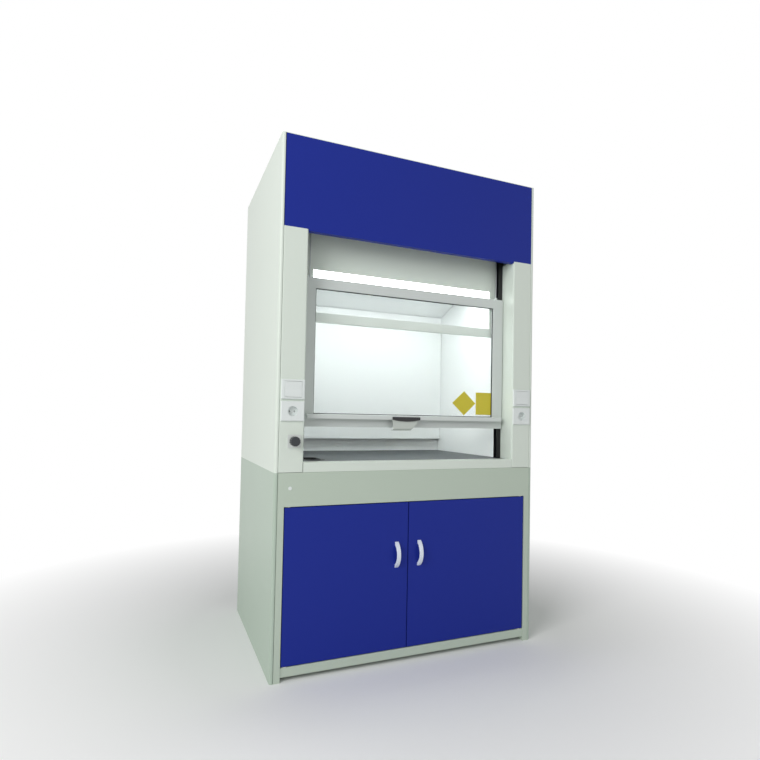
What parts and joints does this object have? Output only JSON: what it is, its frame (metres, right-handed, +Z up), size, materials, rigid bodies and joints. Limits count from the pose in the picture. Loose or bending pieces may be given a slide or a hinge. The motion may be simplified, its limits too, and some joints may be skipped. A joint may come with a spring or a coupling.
{
  "type": "fume hood",
  "caption": "walk-up fume hood with blue cupboard doors, dark worktop with a cup sink, counterbalanced glass sash, side posts with rocker switches and sockets, and a water knob",
  "frame": {"origin": "on the floor, at the middle of the cabinet's footprint", "axes": "+Z up, front towards -Y, +X to the right"},
  "size_m": [1.2, 0.911, 2.185],
  "materials": {
    "white_paint": "satin powder coat, off-white",
    "grey_paint": "satin powder coat, light grey",
    "blue_paint": "satin powder coat, blue",
    "handle_plastic": "moulded, pale",
    "white_board": "compact laminate, white",
    "dark_top": "cast epoxy, dark grey",
    "black_plastic": "black moulded plastic",
    "grip_plastic": "dark moulded plastic",
    "scoop_plastic": "smoke grey moulded plastic",
    "knob_plastic": "dark grey moulded plastic",
    "plate_plastic": "white moulded plastic",
    "clear_glass": "float glass",
    "opal_cover": "opal acrylic",
    "nylon": "turned nylon",
    "plated_steel": "zinc plated",
    "duct_grey": "grey duct plastic",
    "spacer": "plastic spacer",
    "coated_brass": "coated brass"
  },
  "bodies": {
    "cabinet": {"base_side_left": "grey_paint", "base_side_right": "grey_paint", "base_front_frame": "white_paint", "bottom_rail": "grey_paint", "base_back": "grey_paint", "base_floor": "grey_paint", "apron_plug": "plate_plastic", "shelf": "grey_paint", "shelf_pegs": "plated_steel", "door_catches": "plated_steel", "pivot_bushes": "nylon", "worktop": "dark_top", "sill": "white_paint", "cup_sink": "black_plastic", "waste_trap": "black_plastic", "upper_side_left": "white_paint", "upper_side_right": "white_paint", "upper_back": "white_paint", "roof": "white_paint", "post_left": "white_paint", "post_right": "white_paint", "sash_guides": "black_plastic", "fascia": "blue_paint", "header_panel": "white_paint", "fixed_glass": "clear_glass", "liner_left": "white_board", "liner_right": "white_board", "chamber_back": "white_board", "chamber_top": "white_board", "baffle_lower": "white_board", "baffle_upper": "white_board", "baffle_standoffs": "spacer", "lamp_housing": "white_paint", "lamp_diffuser": "opal_cover", "exhaust_duct": "duct_grey", "cables_top": "plated_steel", "wheel_brackets": "plated_steel", "weight_channels": "plated_steel", "switch_frames": "plate_plastic", "socket_plates": "plate_plastic", "water_valve": "coated_brass", "water_spout": "coated_brass"},
    "left_door": {"door_left": "blue_paint", "handle_left": "handle_plastic"},
    "right_door": {"door_right": "blue_paint", "handle_right": "handle_plastic"},
    "sash": {"sash_frame": "white_paint", "sash_glass": "clear_glass", "sash_slides": "nylon", "sash_grip": "grip_plastic", "grip_scoop": "scoop_plastic", "cables_sash": "plated_steel"},
    "balance_weight": {"counterweight": "plated_steel", "cables_weight": "plated_steel"},
    "front_wheel_left": {"wheel_front_left": "plated_steel"},
    "front_wheel_right": {"wheel_front_right": "plated_steel"},
    "rear_wheel_pair": {"wheels_rear": "plated_steel"},
    "left_rocker": {"rocker_left": "plate_plastic"},
    "right_rocker": {"rocker_right": "plate_plastic"},
    "valve_knob": {"knob": "knob_plastic"}
  },
  "joints": [
    {"name": "left_door_hinge", "type": "hinge", "parent": "cabinet", "child": "left_door", "pos_m": [-0.5405, -0.4285, 0.36], "axis": [0, 0, 1], "range_deg": [-105, 0]},
    {"name": "right_door_hinge", "type": "hinge", "parent": "cabinet", "child": "right_door", "pos_m": [0.5405, -0.4285, 0.36], "axis": [0, 0, 1], "range_deg": [0, 105]},
    {"name": "sash_slide", "type": "slide", "parent": "cabinet", "child": "sash", "axis": [0, 0, 1], "range_m": [-0.124, 0.438], "deforming": ["cables_sash"]},
    {"name": "weight_slide", "type": "slide", "parent": "cabinet", "child": "balance_weight", "axis": [0, 0, 1], "range_m": [-0.439, 0.125], "deforming": ["cables_weight"]},
    {"name": "front_wheel_left_spin", "type": "hinge", "parent": "cabinet", "child": "front_wheel_left", "pos_m": [-0.455, -0.313, 2.07], "axis": [1, 0, 0], "range_deg": [-841, 241]},
    {"name": "front_wheel_right_spin", "type": "hinge", "parent": "cabinet", "child": "front_wheel_right", "pos_m": [0.455, -0.313, 2.07], "axis": [1, 0, 0], "range_deg": [-841, 241]},
    {"name": "rear_shaft_spin", "type": "hinge", "parent": "cabinet", "child": "rear_wheel_pair", "pos_m": [0, 0.3815, 2.07], "axis": [1, 0, 0], "range_deg": [-841, 241]},
    {"name": "left_rocker_tilt", "type": "hinge", "parent": "cabinet", "child": "left_rocker", "pos_m": [-0.536, -0.436, 1.1215], "axis": [1, 0, 0], "range_deg": [-3, 3]},
    {"name": "right_rocker_tilt", "type": "hinge", "parent": "cabinet", "child": "right_rocker", "pos_m": [0.536, -0.436, 1.1215], "axis": [1, 0, 0], "range_deg": [-3, 3]},
    {"name": "knob_turn", "type": "hinge", "parent": "cabinet", "child": "valve_knob", "pos_m": [-0.527, -0.445, 0.92], "axis": [0, -1, 0], "range_deg": [0, 720]}
  ],
  "couplings": [
    {"joint": "weight_slide", "follows": "sash_slide", "ratio": -1},
    {"joint": "front_wheel_left_spin", "follows": "sash_slide", "rad_per_m": -33.333},
    {"joint": "front_wheel_right_spin", "follows": "sash_slide", "rad_per_m": -33.333},
    {"joint": "rear_shaft_spin", "follows": "sash_slide", "rad_per_m": -33.333}
  ]
}
